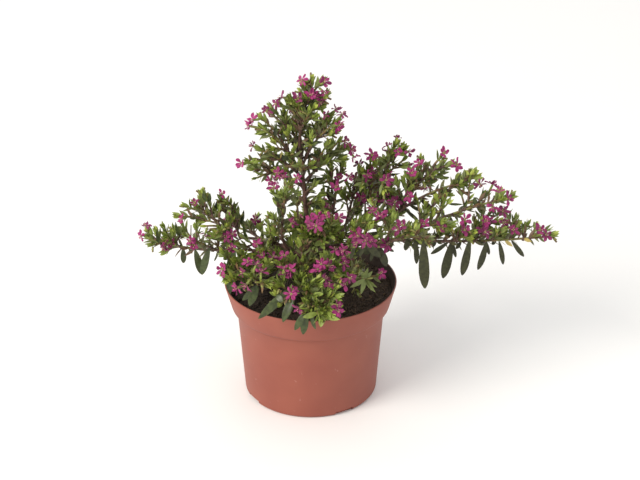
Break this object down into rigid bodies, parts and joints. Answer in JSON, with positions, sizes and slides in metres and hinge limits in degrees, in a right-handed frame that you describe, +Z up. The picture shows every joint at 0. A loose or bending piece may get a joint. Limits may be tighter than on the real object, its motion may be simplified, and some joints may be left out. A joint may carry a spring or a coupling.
{
  "type": "potted cuphea shrub",
  "caption": "Small flowering shrub in a round tapered pot: a woody stem, spreading boughs, narrow leaves and little magenta flowers over dark soil.",
  "frame": {"origin": "middle of the pot's flat underside", "axes": "+Z up along the pot's axis; +X to the right and +Y away from the viewer, as the picture shows the plant, so the crown is widest along X"},
  "size_m": [0.2521, 0.145, 0.2042],
  "materials": {
    "pot": "matt moulded terracotta-coloured plastic",
    "soil": "moist dark potting soil",
    "bark": "thin red-brown bark",
    "foliage": "small narrow leaves, satin above"
  },
  "bodies": {
    "root": {"pot": "pot", "soil": "soil", "main_stem": "bark", "bough_left": "bark", "bough_left_back": "bark", "bough_front_upright": "bark", "bough_right_upright": "bark", "bough_right_high": "bark", "bough_right": "bark", "bough_right_low": "bark", "bough_right_front": "bark", "bough_front_high": "bark", "bough_front_right": "bark", "bough_right_short": "bark", "bough_front_left": "bark", "bough_front_low": "bark", "bough_front_middle": "bark", "bough_back_left": "bark", "bough_back": "bark", "bough_back_right": "bark", "foliage_top": "foliage", "foliage_top_left_low": "foliage", "foliage_top_left": "foliage", "foliage_top_left_high": "foliage", "foliage_top_right_low": "foliage", "foliage_top_right": "foliage", "foliage_top_back": "foliage", "foliage_top_front": "foliage", "foliage_middle": "foliage", "foliage_left": "foliage", "foliage_left_high": "foliage", "foliage_left_middle": "foliage", "foliage_left_back": "foliage", "foliage_front_upright": "foliage", "foliage_right_upright": "foliage", "foliage_right_high": "foliage", "foliage_right_inner": "foliage", "foliage_right": "foliage", "foliage_right_middle": "foliage", "foliage_right_outer": "foliage", "foliage_right_low": "foliage", "foliage_right_front": "foliage", "foliage_front_high": "foliage", "foliage_front_right": "foliage", "foliage_right_short": "foliage", "foliage_front_left": "foliage", "foliage_front_left_inner": "foliage", "foliage_front_left_low": "foliage", "foliage_front_inner": "foliage", "foliage_front_low": "foliage", "foliage_front_low_left": "foliage", "foliage_front_middle": "foliage", "foliage_back_left": "foliage", "foliage_back": "foliage", "foliage_back_right": "foliage"}
  },
  "joints": []
}
